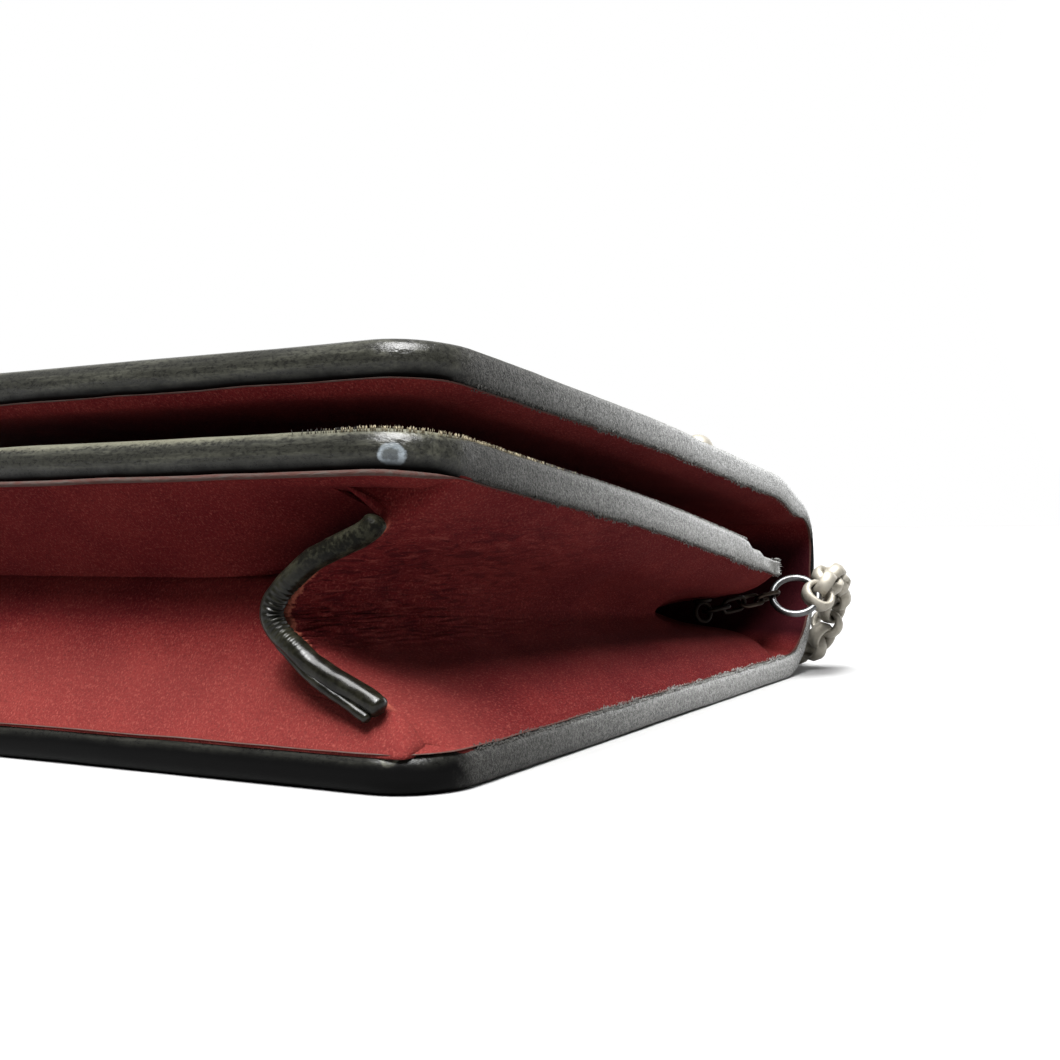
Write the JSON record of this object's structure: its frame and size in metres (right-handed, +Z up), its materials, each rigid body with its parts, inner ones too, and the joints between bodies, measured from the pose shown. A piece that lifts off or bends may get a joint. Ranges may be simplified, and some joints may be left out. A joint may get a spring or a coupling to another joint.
{
  "type": "shoulder bag",
  "caption": "Flat shoulder bag lying on its back: full-length flap, folded side and bottom gussets, piped gusset edges and a metal chain strap on small rings.",
  "frame": {"origin": "centre of the back panel's outer face, which is the face the bag lies on", "axes": "+Z up out of that face towards the flap, +X across the bag towards its right side, +Y from the bottom edge towards the spine where the flap folds over"},
  "size_m": [0.2471, 0.3591, 0.0509],
  "materials": {
    "black_leather": "smooth, glossy bound edges",
    "wine_leather": "matte suede",
    "black_piping": "glossy rolled leather",
    "silver_metal": "warm polished silver"
  },
  "bodies": {
    "root": {"outer_wrap": "black_leather", "front_panel": "black_leather", "wrap_lining": "wine_leather", "front_lining": "wine_leather", "bottom_gusset": "wine_leather", "side_gusset_right": "wine_leather", "side_gusset_left": "wine_leather", "gusset_piping_right": "black_piping", "gusset_piping_left": "black_piping", "strap_eye_right": "silver_metal", "strap_eye_left": "silver_metal", "connector_link_right_1": "silver_metal", "connector_link_right_2": "silver_metal", "connector_link_right_3": "silver_metal", "connector_link_right_4": "silver_metal", "connector_link_left_1": "silver_metal", "connector_link_left_2": "silver_metal", "connector_link_left_3": "silver_metal", "connector_link_left_4": "silver_metal", "strap_ring_right": "silver_metal", "strap_ring_left": "silver_metal", "flap_stud_right": "silver_metal", "flap_stud_left": "silver_metal", "chain_strap_right": "silver_metal", "chain_strap_left": "silver_metal"}
  },
  "joints": []
}
